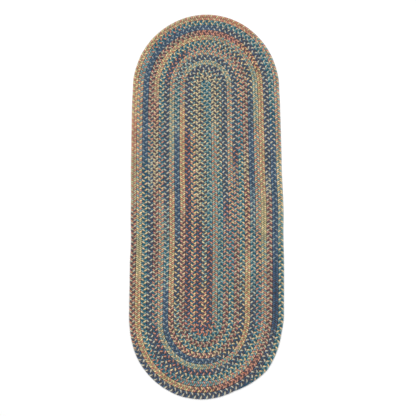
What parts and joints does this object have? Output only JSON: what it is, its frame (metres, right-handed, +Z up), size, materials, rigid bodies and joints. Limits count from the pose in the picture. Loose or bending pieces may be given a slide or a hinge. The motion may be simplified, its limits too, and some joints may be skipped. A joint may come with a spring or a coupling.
{
  "type": "braided rug",
  "caption": "Long oval rug of one thick plaited yarn braid wound in a flat spiral and laced row to row, with a tapered last end.",
  "frame": {"origin": "middle of the rug on the floor, under the centre of its bounding box", "axes": "+Y along the rug towards the picture's top, +X across it towards the picture's right, +Z up out of its face"},
  "size_m": [0.6141, 1.5599, 0.01],
  "materials": {
    "yarn": "matt, soft plaited yarn in mixed navy, teal, rust, plum, orange and cream"
  },
  "bodies": {
    "root": {"braided_rug": "yarn"}
  },
  "joints": []
}
